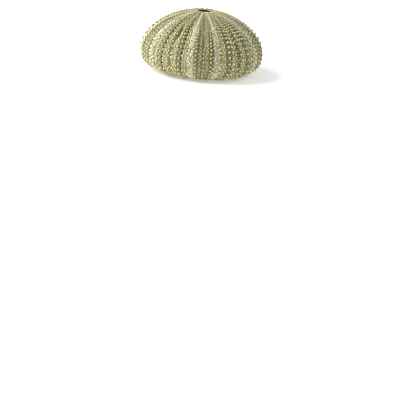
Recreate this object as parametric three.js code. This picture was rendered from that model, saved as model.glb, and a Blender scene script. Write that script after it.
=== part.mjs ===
// The empty shell of a green sea urchin, in millimetres, with +Z up.
//
// It is one piece of chalk-like plate: a domed, hollow wall with a small hole at the top and a wide
// mouth opening underneath. It rests on the flat ring round the mouth. The origin is on the resting
// plane, under the middle of the shell. The front is -Y.
//
// Ten double columns of plates run from the top hole to the mouth, in five fifths of 72 degrees. The
// middle of each fifth is a narrow zone whose sides are raised ribs, pierced for the tube feet. Between
// two such zones lies a wide zone. Each plate carries one large bump, and the wide zones smaller ones.
import * as THREE from "three";

// Sizes over the tips of the bumps.
const WIDTH = 60;
const HEIGHT = 30.4;
const WIDEST_LEVEL = 10.6;

// Openings and wall.
const TOP_HOLE_RADIUS = 3.3;
const MOUTH_RADIUS = 11.5;
const MOUTH_LIP_HEIGHT = 1.5;
const MOUTH_NOTCH_DEPTH = 0.6;
const RESTING_RING_INNER_RADIUS = 14.2;
const RESTING_RING_OUTER_RADIUS = 16.6;
const WALL_THICKNESS = 1.4;
const MOUTH_RIM_THICKNESS = 0.9;
const TOP_RIM_THICKNESS = 0.5;

// How full the outline is above and below the widest level: 2 is an ellipse, more is boxier.
const DOME_FULLNESS = 1.85;
const FLANK_FULLNESS = 2.9;

// Relief on the outside.
const BUMP_HEIGHT = 0.8;
const SMALL_BUMP_HEIGHT = 0.5;
const RIB_HEIGHT = 0.35;
const FURROW_DEPTH = 0.4;
const SUTURE_DEPTH = 0.12;
const RELIEF_START = 0.04;
const RELIEF_FULLNESS = 0.7;

// The shell grew a little unevenly: it leans to +X, and its girth waves in and out.
const LEAN_DEGREES = 0.3;
const LEAN_START_HEIGHT = 5;
const GIRTH_WAVE = 0.2;
const GIRTH_WAVE_TURN = 1;

// Lines that run from the top hole to the mouth, in degrees from the middle of a narrow zone.
const FRONT_ZONE_AZIMUTH = -88;
const FIFTH = 72;
const NARROW_ZONE_BUMPS = 7.6;
const RIB_LINE = 12.6;
const ZONE_EDGE = 16.4;
const WIDE_ZONE_BUMPS = 25.4;
const WIDE_ZONE_SMALL_BUMPS = 31.2;
const WIDE_ZONE_MIDDLE = FIFTH / 2;
const BUMP_HALF_WIDTH = 1.6;
const RIB_SPREAD = 3.2;
const FURROW_SPREAD = 3;

// The fifths aren't quite even. These are the degrees by which each zone is turned out of its even
// place, narrow and wide in turn, from the front narrow zone round to the right.
const ZONE_SHIFTS = [0, 1.7, 3.5, -3.5, -1, 0, 2, 4.5, 1.6, 3.6];

// Rings of points down the outside: a large bump sits on every other ring of its column.
const PLATE_ROWS = 18;
const SMALLEST_PLATE_SHARE = 0.4;
const LARGEST_PLATE_SKEW = 1.45;
const BARE_TOP_RINGS = 2;
const LIP_RINGS = 2;
const INNER_RINGS = 7;

const OUTER_RADIUS = WIDTH / 2 - BUMP_HEIGHT;
const DOME_RISE = HEIGHT - WIDEST_LEVEL;
const SHELL_COLOUR = 0xb9b98c;
const SAMPLES = 400;
const { degToRad, euclideanModulo, lerp, smoothstep } = THREE.MathUtils;

// A quarter of a superellipse: turn 0 is its widest point and turn 1 its top.
function superellipse(turn, halfWidth, rise, fullness) {
  const angle = (turn * Math.PI) / 2;
  const along = Math.cos(angle) ** (2 / fullness);
  const up = Math.sin(angle) ** (2 / fullness);
  return new THREE.Vector2(halfWidth * along, rise * up);
}

// The turn at which a superellipse of that half width comes in to a radius.
function turnAtRadius(radius, halfWidth, fullness) {
  return (Math.acos((radius / halfWidth) ** (fullness / 2)) * 2) / Math.PI;
}

// The outside of the wall from the top hole to the outer edge of the resting ring, finely sampled.
function outerOutline() {
  const topTurn = turnAtRadius(TOP_HOLE_RADIUS, OUTER_RADIUS, DOME_FULLNESS);
  const restTurn = turnAtRadius(RESTING_RING_OUTER_RADIUS, OUTER_RADIUS, FLANK_FULLNESS);
  const unitDrop = superellipse(restTurn, OUTER_RADIUS, 1, FLANK_FULLNESS).y;
  const flankDrop = WIDEST_LEVEL / unitDrop;
  const points = [];
  for (let i = 0; i < SAMPLES; i++) {
    const p = superellipse(topTurn * (1 - i / SAMPLES), OUTER_RADIUS, DOME_RISE, DOME_FULLNESS);
    points.push(new THREE.Vector2(p.x, WIDEST_LEVEL + p.y));
  }
  for (let i = 0; i <= SAMPLES; i++) {
    const p = superellipse((restTurn * i) / SAMPLES, OUTER_RADIUS, flankDrop, FLANK_FULLNESS);
    points.push(new THREE.Vector2(p.x, WIDEST_LEVEL - p.y));
  }
  return points;
}

// Plates are smallest at both ends of a column and largest near the widest level.
function plateSize(share) {
  const swell = Math.sin(Math.PI * share ** LARGEST_PLATE_SKEW);
  return lerp(SMALLEST_PLATE_SHARE, 1, swell);
}

// Points along a line, count + 1 in all, with gaps that follow plateSize.
function spacedPoints(line, count) {
  const curve = new THREE.Path(line);
  curve.arcLengthDivisions = line.length;
  const gaps = Array.from({ length: count }, (_, k) => plateSize((k + 0.5) / count));
  const total = gaps.reduce((sum, gap) => sum + gap, 0);
  const points = [];
  let done = 0;
  for (let k = 0; k <= count; k++) {
    const share = done / total;
    points.push({ point: curve.getPointAt(Math.min(share, 1)), share });
    done += gaps[k] ?? 0;
  }
  return points;
}

// The closed outline of the wall, as rings. Each has its place in section, its outward normal, its
// share of the way from the top hole to the resting ring, and its row where it can carry bumps.
function wallRings() {
  const outer = spacedPoints(outerOutline(), PLATE_ROWS * 2);
  const rings = outer.map(({ point, share }, k) => ({ at: point, share, row: k, outside: true }));
  // The lip curls up from the resting ring to the mouth's edge on a quarter of an ellipse.
  for (let k = 0; k <= LIP_RINGS; k++) {
    const angle = (Math.PI / 2) * (k / LIP_RINGS);
    const radius = lerp(RESTING_RING_INNER_RADIUS, MOUTH_RADIUS, Math.sin(angle));
    const height = MOUTH_LIP_HEIGHT * (1 - Math.cos(angle));
    rings.push({ at: new THREE.Vector2(radius, height), share: 1, outside: true });
  }
  setNormals(rings);
  rings.at(-1).mouthEdge = true;

  const above = new THREE.Vector2(MOUTH_RADIUS, MOUTH_LIP_HEIGHT + MOUTH_RIM_THICKNESS);
  const inside = [{ at: above, share: 1, mouthEdge: true }];
  for (let k = INNER_RINGS; k >= 1; k--) {
    const back = rings[Math.round((k / INNER_RINGS) * PLATE_ROWS * 2)];
    const at = back.at.clone().addScaledVector(back.normal, -WALL_THICKNESS);
    inside.push({ at, share: back.share });
  }
  const top = rings[0].at;
  inside.push({ at: new THREE.Vector2(top.x, top.y - TOP_RIM_THICKNESS), share: 0 });
  return rings.concat(inside);
}

// Normals in section, from the neighbours on either side.
function setNormals(rings) {
  rings.forEach((ring, k) => {
    const before = rings[Math.max(k - 1, 0)].at;
    const after = rings[Math.min(k + 1, rings.length - 1)].at;
    const along = after.clone().sub(before).normalize();
    ring.normal = new THREE.Vector2(-along.y, along.x);
  });
}

// Lines of points from the top hole to the mouth. The two columns of a zone carry their bumps half a
// plate apart, so the left ones take odd rings and the right ones even rings.
function meridians() {
  const halfZone = [
    { from: NARROW_ZONE_BUMPS - BUMP_HALF_WIDTH },
    { from: NARROW_ZONE_BUMPS, bump: BUMP_HEIGHT },
    { from: NARROW_ZONE_BUMPS + BUMP_HALF_WIDTH },
    { from: RIB_LINE },
    { from: ZONE_EDGE, suture: true },
    { from: WIDE_ZONE_BUMPS - BUMP_HALF_WIDTH },
    { from: WIDE_ZONE_BUMPS, bump: BUMP_HEIGHT },
    { from: WIDE_ZONE_BUMPS + BUMP_HALF_WIDTH },
    { from: WIDE_ZONE_SMALL_BUMPS, bump: SMALL_BUMP_HEIGHT },
  ];
  const right = halfZone.map((line) => ({ ...line, turn: line.from, odd: 0 }));
  const left = halfZone.map((line) => ({ ...line, turn: -line.from, odd: 1 })).reverse();
  const middle = { from: 0, turn: 0, suture: true };
  const seam = { from: WIDE_ZONE_MIDDLE, turn: WIDE_ZONE_MIDDLE, suture: true };
  const fifth = [...left, middle, ...right, seam];
  const round = [0, 1, 2, 3, 4].flatMap((n) =>
    fifth.map((line) => ({ ...line, azimuth: azimuthAt(FIFTH * n + line.turn) })),
  );
  return round.reverse(); // clockwise from above, so that the faces point outwards
}

// The azimuth of a line that is so many degrees round from the middle of the front zone.
function azimuthAt(turn) {
  const place = euclideanModulo(turn, 360) / WIDE_ZONE_MIDDLE;
  const before = Math.floor(place);
  const after = (before + 1) % ZONE_SHIFTS.length;
  const shift = lerp(ZONE_SHIFTS[before], ZONE_SHIFTS[after], place - before);
  return degToRad(FRONT_ZONE_AZIMUTH + turn + shift);
}

function bell(distance, spread) {
  return Math.exp(-((distance / spread) ** 2));
}

// Ribs and furrows that run down the shell: they are strongest above the widest level.
function broadRelief(line, ring) {
  const strength = Math.sin(Math.PI * Math.min(1, RELIEF_START + ring.share)) ** RELIEF_FULLNESS;
  const rib = RIB_HEIGHT * bell(line.from - RIB_LINE, RIB_SPREAD);
  const middleFurrow = FURROW_DEPTH * bell(line.from, FURROW_SPREAD);
  const seamFurrow = FURROW_DEPTH * bell(line.from - WIDE_ZONE_MIDDLE, FURROW_SPREAD);
  const suture = line.suture ? SUTURE_DEPTH : 0;
  return strength * (rib - middleFurrow - seamFurrow) - suture * strength;
}

function bumpHeight(line, ring) {
  const carries = line.bump && ring.row >= BARE_TOP_RINGS && ring.row < PLATE_ROWS * 2;
  return carries && ring.row % 2 === line.odd ? line.bump * plateSize(ring.share) : 0;
}

// The mouth's edge has a shallow notch at each edge of the narrow zones.
function mouthNotch(line, ring) {
  return ring.mouthEdge && line.from === ZONE_EDGE ? MOUTH_NOTCH_DEPTH : 0;
}

// The girth is a little oval, more so towards the widest level.
function girthWave(line, ring) {
  const growth = smoothstep(ring.at.x, TOP_HOLE_RADIUS, OUTER_RADIUS);
  return GIRTH_WAVE * Math.sin(2 * line.azimuth + GIRTH_WAVE_TURN) * growth;
}

// A point of the shell in space, before it is centred.
function placePoint(line, ring) {
  const lift = ring.outside ? broadRelief(line, ring) + bumpHeight(line, ring) : 0;
  const normal = ring.normal ?? new THREE.Vector2();
  const radius = ring.at.x + normal.x * lift + girthWave(line, ring) + mouthNotch(line, ring);
  const height = Math.max(0, ring.at.y + normal.y * lift);
  const lean = Math.tan(degToRad(LEAN_DEGREES)) * smoothstep(height, 0, LEAN_START_HEIGHT);
  const x = radius * Math.cos(line.azimuth);
  const y = radius * Math.sin(line.azimuth);
  return new THREE.Vector3(x + lean * (height - WIDEST_LEVEL), y, height - lean * x);
}

// The wall is a lathe of its closed outline, whose points then move to their meridian and relief.
function shellGeometry() {
  const rings = wallRings();
  const lines = meridians();
  const geometry = new THREE.LatheGeometry([...rings, rings[0]].map((ring) => ring.at), lines.length);
  const perLine = rings.length + 1;
  const position = geometry.getAttribute("position");
  for (let i = 0; i < position.count; i++) {
    const line = lines[Math.floor(i / perLine) % lines.length];
    const ring = rings[(i % perLine) % rings.length];
    position.setXYZ(i, ...placePoint(line, ring).toArray());
  }
  geometry.computeBoundingBox();
  const centre = geometry.boundingBox.getCenter(new THREE.Vector3());
  geometry.translate(-centre.x, -centre.y, 0);
  geometry.computeVertexNormals();
  return geometry;
}

const shell = new THREE.Mesh(
  shellGeometry(),
  new THREE.MeshStandardMaterial({ color: SHELL_COLOUR, roughness: 0.75, metalness: 0 }),
);
shell.name = "shell";

const urchin = new THREE.Group();
urchin.name = "sea_urchin_shell";
urchin.add(shell);

export default urchin;
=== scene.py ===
# %% [markdown]
# # The empty shell of a green sea urchin
#
# The shell is one piece of chalk-like plates that grew together: a hollow dome with a small hole at
# the top and a wide mouth opening underneath. The frame gives its place and size. This lesson gives
# it the surface that the eye knows: ribs, sunken strips, rows of beads, fine grains and pores. All
# lengths are in millimetres until a mesh is made, because the real thing is measured that way.

# %% Load the frame
import math
from types import SimpleNamespace

import bpy
import numpy as np
from mathutils import Matrix, Vector, noise


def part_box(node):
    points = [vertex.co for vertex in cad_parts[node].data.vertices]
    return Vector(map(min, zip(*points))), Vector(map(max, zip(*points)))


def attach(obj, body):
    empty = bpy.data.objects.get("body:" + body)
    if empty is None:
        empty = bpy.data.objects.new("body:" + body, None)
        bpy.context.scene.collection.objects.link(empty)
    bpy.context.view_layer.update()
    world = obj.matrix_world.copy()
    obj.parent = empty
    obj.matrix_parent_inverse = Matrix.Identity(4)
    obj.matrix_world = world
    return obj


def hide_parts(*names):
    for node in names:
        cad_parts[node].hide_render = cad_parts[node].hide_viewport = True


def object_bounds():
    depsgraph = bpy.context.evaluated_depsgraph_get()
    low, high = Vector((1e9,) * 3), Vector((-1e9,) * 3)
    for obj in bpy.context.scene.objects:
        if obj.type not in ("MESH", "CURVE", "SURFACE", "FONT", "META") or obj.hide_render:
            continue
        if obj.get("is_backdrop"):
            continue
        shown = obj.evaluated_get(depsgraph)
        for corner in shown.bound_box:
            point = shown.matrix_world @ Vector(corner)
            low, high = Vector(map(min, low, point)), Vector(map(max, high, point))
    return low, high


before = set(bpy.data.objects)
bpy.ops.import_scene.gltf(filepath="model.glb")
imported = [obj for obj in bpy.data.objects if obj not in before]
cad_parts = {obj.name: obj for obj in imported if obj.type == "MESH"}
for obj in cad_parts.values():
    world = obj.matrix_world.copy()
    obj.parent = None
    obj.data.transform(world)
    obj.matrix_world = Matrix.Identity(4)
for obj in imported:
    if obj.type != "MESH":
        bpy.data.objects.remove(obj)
cad_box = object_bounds()
MM = 0.001
cad_low, cad_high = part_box("shell")
print("frame box in mm:", [round(v / MM, 2) for v in (*cad_low, *cad_high)])

# %% [markdown]
# ## The camera
#
# The camera is worked out from what can be seen. The shell's widest level lies well above the middle
# of the frame, and the top hole is an ellipse about a fifth as high as it is wide, which says that
# the eye looks down on it by about 12 degrees. The camera's own axis points lower than that.

# %% Place the camera
PHOTO_SIDE = 400
LENS_MM = 200
SENSOR_MM = 36
FOCAL_PIXELS = LENS_MM / SENSOR_MM * PHOTO_SIDE
WIDEST_PIXEL = (201.45, 49.96)
WIDEST_LEVEL = 10.6
LOOK_DOWN = math.radians(12)
CAMERA_ROLL = math.radians(4.3)
CAMERA_DISTANCE = 1091
NEAR_CLIP = 10


def place_camera():
    """Puts the shell's axis, at its widest level, at its own pixel of the frame."""
    right = WIDEST_PIXEL[0] - PHOTO_SIDE / 2
    up = PHOTO_SIDE / 2 - WIDEST_PIXEL[1]
    level_up = right * math.sin(CAMERA_ROLL) + up * math.cos(CAMERA_ROLL)
    tilt = LOOK_DOWN + math.atan(level_up / FOCAL_PIXELS)
    ahead = Vector((0, math.cos(tilt), -math.sin(tilt)))
    side = Vector((1, 0, 0))
    over = side.cross(ahead)
    rolled_side = side * math.cos(CAMERA_ROLL) + over * math.sin(CAMERA_ROLL)
    rolled_over = over * math.cos(CAMERA_ROLL) - side * math.sin(CAMERA_ROLL)
    sight = (rolled_side * right + rolled_over * up + ahead * FOCAL_PIXELS).normalized()
    turned = Matrix((rolled_side, rolled_over, -ahead)).transposed()
    aim = Vector((0, 0, WIDEST_LEVEL))
    bpy.ops.object.camera_add(location=(aim - sight * CAMERA_DISTANCE) * MM, rotation=turned.to_euler())
    camera = bpy.context.object
    camera.data.lens = LENS_MM
    camera.data.sensor_width = SENSOR_MM
    camera.data.clip_start = NEAR_CLIP * MM
    bpy.context.scene.camera = camera
    print("camera at", [round(v, 3) for v in camera.location])


place_camera()

# %% [markdown]
# ## The outline of the wall
#
# In section the outside is two quarters of a superellipse, a fuller kind of ellipse: a dome above the
# widest level and a boxier flank below it. Then come the flat ring that the shell rests on, and a lip
# that curls up to the mouth's edge. Places on it are counted in millimetres along this line, from
# the edge of the top hole, because the plates of the real shell follow one another along it.

# %% Draw the outline
TOP_HOLE_RADIUS = 3.3
MOUTH_RADIUS = 11.5
MOUTH_LIP_HEIGHT = 1.5
RING_INNER_RADIUS = 14.2
RING_OUTER_RADIUS = 16.6
OUTER_RADIUS = 29.2
DOME_TOP = 30.4
DOME_FULLNESS = 1.85
FLANK_FULLNESS = 2.9
SAMPLES = 600
RING_SAMPLES = 40
LIP_SAMPLES = 60


def superellipse(turn, half_width, rise, fullness):
    """A quarter of a superellipse: turn 0 is its widest point and turn 1 its top."""
    angle = turn * math.pi / 2
    across = half_width * np.cos(angle) ** (2 / fullness)
    return np.column_stack([across, rise * np.sin(angle) ** (2 / fullness)])


def turn_at(radius, half_width, fullness):
    """The turn at which a superellipse comes in to a radius."""
    return math.acos((radius / half_width) ** (fullness / 2)) * 2 / math.pi


def outside_outline():
    """Radius and height along the outside, from the top hole to the mouth's edge."""
    top = turn_at(TOP_HOLE_RADIUS, OUTER_RADIUS, DOME_FULLNESS)
    rest = turn_at(RING_OUTER_RADIUS, OUTER_RADIUS, FLANK_FULLNESS)
    dome = superellipse(np.linspace(top, 0, SAMPLES), OUTER_RADIUS, DOME_TOP - WIDEST_LEVEL, DOME_FULLNESS)
    unit_drop = superellipse(np.array([rest]), OUTER_RADIUS, 1, FLANK_FULLNESS)[0, 1]
    flank = superellipse(
        np.linspace(0, rest, SAMPLES)[1:], OUTER_RADIUS, -WIDEST_LEVEL / unit_drop, FLANK_FULLNESS
    )
    ring = np.linspace((RING_OUTER_RADIUS, 0), (RING_INNER_RADIUS, 0), RING_SAMPLES)[1:]
    curl = np.linspace(0, math.pi / 2, LIP_SAMPLES)[1:]
    lip_radius = RING_INNER_RADIUS + (MOUTH_RADIUS - RING_INNER_RADIUS) * np.sin(curl)
    lip = np.column_stack([lip_radius, MOUTH_LIP_HEIGHT * (1 - np.cos(curl))])
    shell_part = np.vstack([dome, flank]) + (0, WIDEST_LEVEL)
    return np.vstack([shell_part, ring, lip]), len(shell_part) - 1


def lengths_along(line):
    """The length of a line from its first point up to each of its points."""
    return np.concatenate([[0], np.cumsum(np.hypot(*np.diff(line, axis=0).T))])


OUTSIDE, rest_index = outside_outline()
OUTSIDE_ALONG = lengths_along(OUTSIDE)
REST_ALONG = OUTSIDE_ALONG[rest_index]
RING_END_ALONG = REST_ALONG + RING_OUTER_RADIUS - RING_INNER_RADIUS
MOUTH_ALONG = OUTSIDE_ALONG[-1]
slopes = np.gradient(OUTSIDE, axis=0)
slopes /= np.linalg.norm(slopes, axis=1)[:, None]
OUTSIDE_NORMAL = np.column_stack([-slopes[:, 1], slopes[:, 0]])


def outline_at(along):
    """Radius and height of the outline, at lengths along it."""
    return np.array([np.interp(along, OUTSIDE_ALONG, OUTSIDE[:, k]) for k in (0, 1)])


def normal_at(along):
    """The way out of the wall, as radius and height, at lengths along the outline."""
    return np.array([np.interp(along, OUTSIDE_ALONG, OUTSIDE_NORMAL[:, k]) for k in (0, 1)])


print(f"top hole to resting ring {REST_ALONG:.1f} mm, to the mouth's edge {MOUTH_ALONG:.1f} mm")

# %% [markdown]
# ## From the outline to space
#
# Ten double columns of plates run down the shell, in five fifths of 72 degrees. The middle of each
# fifth is a narrow zone, pierced for the tube feet, and between two narrow zones lies a wide zone.
# A place on the shell is therefore an angle round the axis and a length along the outline. Like most
# real shells, this one grew a little unevenly: the dome leans, the girth waves in and out, and each
# zone is turned a few degrees out of its even place. ZONE_SHIFTS gives that turn for the narrow and
# wide zones in turn, from the front one round to the right.

# %% Turn an angle and a length into a point
FRONT_ZONE_AZIMUTH = -88
FIFTHS = 5
FIFTH = 360 / FIFTHS
ZONE_SHIFTS = (0, 1.7, 3.5, -3.5, -1, 0, 2, 4.5, 1.6, 3.6)
LEAN = math.tan(math.radians(0.3))
LEAN_START_HEIGHT = 5
GIRTH_WAVE = 0.2
GIRTH_WAVE_TURN = 1
ON_THE_FLOOR = 0.01
RING_EDGE_MARGIN = 1


def smooth(value, low, high):
    """0 up to low, 1 from high, and an even rise between."""
    share = np.clip((value - low) / (high - low), 0, 1)
    return share * share * (3 - 2 * share)


def bell(distance, spread):
    """1 at no distance, falling off on both sides."""
    return np.exp(-((distance / spread) ** 2))


def ring_centre():
    """The axis of the frame's resting ring, in mm."""
    corners = np.array([v.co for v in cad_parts["shell"].data.vertices]) / MM
    low = corners[corners[:, 2] < ON_THE_FLOOR]
    inner = low[np.hypot(low[:, 0], low[:, 1]) < RING_INNER_RADIUS + RING_EDGE_MARGIN]
    return (inner[:, :2].min(0) + inner[:, :2].max(0)) / 2


AXIS = ring_centre()
print("axis of the shell:", AXIS.round(2))


def uneven(azimuth):
    """The azimuth where a line of the even shell really lies."""
    zone_places = np.arange(len(ZONE_SHIFTS)) * FIFTH / 2
    return azimuth + np.interp(azimuth - FRONT_ZONE_AZIMUTH, zone_places, ZONE_SHIFTS, period=360)


def bend(radius, height, azimuth):
    """A radius and a height in section, at an azimuth in degrees, as points of the uneven shell."""
    angle = np.radians(uneven(azimuth))
    growth = smooth(radius, TOP_HOLE_RADIUS, OUTER_RADIUS)
    radius = radius + GIRTH_WAVE * np.sin(2 * angle + GIRTH_WAVE_TURN) * growth
    height = np.maximum(height, 0)
    lean = LEAN * smooth(height, 0, LEAN_START_HEIGHT)
    x = radius * np.cos(angle)
    y = radius * np.sin(angle)
    place = [x + lean * (height - WIDEST_LEVEL) + AXIS[0], y + AXIS[1], height - lean * x]
    return np.column_stack(place)


def zone_turn(azimuth):
    """Degrees from the middle of the nearest narrow zone, from -36 to 36."""
    return (azimuth - FRONT_ZONE_AZIMUTH + FIFTH / 2) % FIFTH - FIFTH / 2


def azimuth_gap(azimuth, turn):
    """Degrees from the place that lies a turn to the right of the front zone's middle."""
    return (azimuth - (FRONT_ZONE_AZIMUTH + turn) + 180) % 360 - 180


# %% [markdown]
# ## Rows of plates
#
# Plates are smallest at the top, where new ones form, and largest near the widest level. Each zone
# has its own rows, because the narrow zones have more and lower plates. In both zones the two
# columns are half a plate apart, like bricks.

# %% Work out the rows
PLATE_SWELL_SKEW = 1.55
TOP_PLATES_SHARE = 0.6
WIDE_PLATES = {"top_size": 1.05, "largest": 2.75, "bottom_size": 1.7, "start": 1.2}
NARROW_PLATES = {"top_size": 0.85, "largest": 2.0, "bottom_size": 1.3, "start": 0.9}


def plate_rows(top_size, largest, bottom_size, start):
    """Middles and heights of the plates in both columns of a zone, in mm along the outline."""
    middles, sizes = [], []
    edge = start
    while edge < MOUTH_ALONG - bottom_size / 2:
        share = min(edge / REST_ALONG, 1)
        swell = math.sin(math.pi * share**PLATE_SWELL_SKEW)
        end_size = top_size if share < TOP_PLATES_SHARE else bottom_size
        size = end_size + (largest - end_size) * swell
        middles.append(edge + size / 2)
        sizes.append(size)
        edge += size
    middles, sizes = np.array(middles), np.array(sizes)
    return {1: (middles, sizes), -1: (middles + sizes / 2, sizes)}


WIDE_ROWS = plate_rows(**WIDE_PLATES)
NARROW_ROWS = plate_rows(**NARROW_PLATES)
print("rows in a wide column", len(WIDE_ROWS[1][0]), "and in a narrow one", len(NARROW_ROWS[1][0]))

# %% [markdown]
# ## The relief of the wall
#
# Broad forms come first: each narrow zone has a raised rib on either side, where the pores are, and
# sunken strips run down the middle of every zone. They fade out on the underside. Names that end in
# AT are degrees from the middle of a narrow zone. Names that end in BEGIN or END are two lengths
# along the outline, between which a part of the relief comes in or goes out.

# %% Describe the ribs and the sunken strips
NARROW_BEADS_AT = 7.6
RIB_AT = 12.6
ZONE_EDGE_AT = 16.8
WIDE_BEADS_AT = 25.4
WIDE_MIDDLE_AT = FIFTH / 2
RIB_HEIGHT = 0.35
FURROW_DEPTH = 0.4
RIB_SPREAD = 3.2
FURROW_SPREAD = 3
RELIEF_START = 0.04
RELIEF_FULLNESS = 0.7


def between(along, begin, end):
    """1 on a stretch of the outline, and 0 before it begins and after it ends."""
    return smooth(along, *begin) * (1 - smooth(along, *end))


def relief_strength(along):
    share = np.minimum(1, RELIEF_START + along / REST_ALONG)
    return np.maximum(np.sin(math.pi * share), 0) ** RELIEF_FULLNESS


def broad_relief(side, along):
    """Height of the broad forms in mm, and the share of rib and of sunken strip at each place."""
    rib = bell(side - RIB_AT, RIB_SPREAD)
    strip = bell(side, FURROW_SPREAD) + bell(side - WIDE_MIDDLE_AT, FURROW_SPREAD)
    return relief_strength(along) * (RIB_HEIGHT * rib - FURROW_DEPTH * strip), rib, strip


def raised_points(azimuth, along, height):
    """Points in mm that stand out from the plain outside by a height."""
    radius, level = outline_at(along) + normal_at(along) * height
    return bend(radius, level, azimuth)


# %% [markdown]
# Fine forms follow: the seams between the plates, a shallow dish round each large bead and a small
# pit beside it, dented in and painted near-black as the bead's painted shadow. They go by the
# nearest plate, so the places are first measured against it.

# %% Describe the seams, dishes and pits
SEAM_DEPTH = 0.13
SEAM_WIDTH = 0.3
SEAMS_BEGIN = (2, 9)
SEAM_LOSS_ON_RIBS = 0.9
# The dish is painted a darker green: partly the areole's own colour and partly painted shade in its hollow.
DISH_DEPTH = 0.3
DISH_RADIUS = 1.12
DISH_WIDTH = 0.5
DISH_REACH = 0.4
DISHES_BEGIN = (6, 16)
DISHED_PLATE = 2.4
NARROW_DISH_SHARE = 0.8
SHALLOW_DISH_SHARE = 0.3
# The pit is painted shadow: a dark dent to the right of each bead, away from the left light.
SHADOW_PIT_AWAY = 1.05
SHADOW_PIT_DROP = 0.15
SHADOW_PIT_WIDTH = 0.48
SHADOW_PIT_DEPTH = 0.35
SHADOW_PITTED_PLATE = 1.9
LARGEST_SHADOW_PIT = 1.1
SHADOW_PITS_BEGIN = (10, 18)
SHADOW_PITS_END = (37, 44)


def row_facts(turn, along):
    """Distance to the middle of the nearest plate, and that plate's height, in mm."""
    away = np.zeros(len(turn))
    size = np.ones(len(turn))
    narrow = np.abs(turn) < ZONE_EDGE_AT
    for rows, in_zone in ((NARROW_ROWS, narrow), (WIDE_ROWS, ~narrow)):
        for side in (1, -1):
            here = in_zone & ((turn >= 0) == (side > 0))
            middles, sizes = rows[side]
            number = np.abs(along[here][:, None] - middles[None, :]).argmin(1)
            away[here] = along[here] - middles[number]
            size[here] = sizes[number]
    return away, size


def in_front_zone(azimuth):
    return np.abs(azimuth_gap(azimuth, 0)) < ZONE_EDGE_AT


def measured(azimuth, along):
    """What the relief has to know of each place."""
    at = SimpleNamespace(azimuth=azimuth, along=along, turn=zone_turn(azimuth))
    at.side = np.abs(at.turn)
    at.narrow = at.side < ZONE_EDGE_AT
    at.front = in_front_zone(azimuth)
    at.degree = np.radians(1) * outline_at(along)[0]
    at.away, at.size = row_facts(at.turn, along)
    at.from_bead = np.where(at.narrow, at.side - NARROW_BEADS_AT, at.side - WIDE_BEADS_AT) * at.degree
    return at


def seams_at(at, rib):
    """The share of seam: level seams between the rows, and upright ones between the columns."""
    level = bell(at.size / 2 - np.abs(at.away), SEAM_WIDTH)
    edges = (ZONE_EDGE_AT, 0, WIDE_MIDDLE_AT)
    upright = sum(bell((at.side - edge) * at.degree, SEAM_WIDTH) for edge in edges)
    return np.minimum(level * (1 - SEAM_LOSS_ON_RIBS * rib) + upright, 1) * smooth(at.along, *SEAMS_BEGIN)


def dishes_at(at):
    """The share of dish, and how large the dish is for its plate."""
    size = np.where(at.narrow, NARROW_DISH_SHARE, 1) * np.minimum(at.size / DISHED_PLATE, 1)
    ring = np.hypot(at.from_bead, at.away) / size - DISH_RADIUS
    dish = bell(ring, DISH_WIDTH) * bell(at.away / at.size, DISH_REACH) * smooth(at.along, *DISHES_BEGIN)
    dish *= np.where((at.turn < 0) & at.narrow, SHALLOW_DISH_SHARE, 1)
    return dish, size


def shadow_pits_at(at):
    """The share of pit, a dent painted near-black as the bead's painted shadow. It lies to the right of its
    bead and a little below it, away from the left light.
    """
    size = np.minimum(at.size / SHADOW_PITTED_PLATE, LARGEST_SHADOW_PIT)
    to_the_right = at.from_bead * np.sign(at.turn) / size - SHADOW_PIT_AWAY
    shadow_pit = bell(np.hypot(to_the_right, at.away / size - SHADOW_PIT_DROP), SHADOW_PIT_WIDTH)
    return shadow_pit * between(at.along, SHADOW_PITS_BEGIN, SHADOW_PITS_END)


# %% [markdown]
# Some places are worn, some have a colour of their own, and some are painted with shade. A long slot
# is worn in the wide zone left of the front, and a spot at the edge of the top hole is nearly white.
# The ribs are palest above their first pores, and the channel between them is darker. Some plates are
# grey or bare: in lines beside the middle of the narrow zones near the top, and down the middle of the
# wide zones. The front rib to the right is greyed too, and the bare middle is darkest in the wide zone
# right of the front: both are painted shade, where the light is weakest. Names that end in TURN are
# degrees to the right of the front zone's middle, and PORED_BEGIN is counted from a rib's first pore.

# %% Describe the worn and coloured places
WORN_SLOT_TURN = -34.5
WORN_SLOT_BEGIN = (16.8, 18.3)
WORN_SLOT_END = (23.5, 25)
WORN_SLOT_DEPTH = 0.6
WORN_SLOT_WIDTH = 0.5
WHITE_RIM_TURN = 8
WHITE_RIM_WIDTH = 0.9
WHITE_RIM_END = (0.7, 1.3)
FIRST_PORE_ALONG = 15
OTHER_ZONES_START = 0.12
PORED_BEGIN = (-2, 5)
PORED_END = (40, 50)
CHANNEL_SHARE = 0.7
CHANNEL_SKEW = 3
CHANNEL_EDGE_WIDTH = 2.5
CHANNEL_BEGIN = (12, 24)
STRIP_TOP_SHARE = 0.35
STRIP_BEGIN = (10, 24)
GREY_LINE_AT = 4.6
GREY_LINE_SPREAD = 2.0
GREY_LINE_END = (14, 22)
GREY_TOP_SHARE = 0.45
GREY_TOP_END = (2, 9)
# Painted shade on the front rib to the right.
RIGHT_RIB_PAINTED_SHADE = 0.35
BARE_MIDDLE_WIDTH = 1.3
BARE_MIDDLE_SHARE = 0.35
BARE_BEGIN = (10, 22)
BARE_END = (38, 48)


def worn_slot_at(at):
    away = azimuth_gap(at.azimuth, WORN_SLOT_TURN) * at.degree
    return bell(away, WORN_SLOT_WIDTH) * between(at.along, WORN_SLOT_BEGIN, WORN_SLOT_END)


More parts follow.
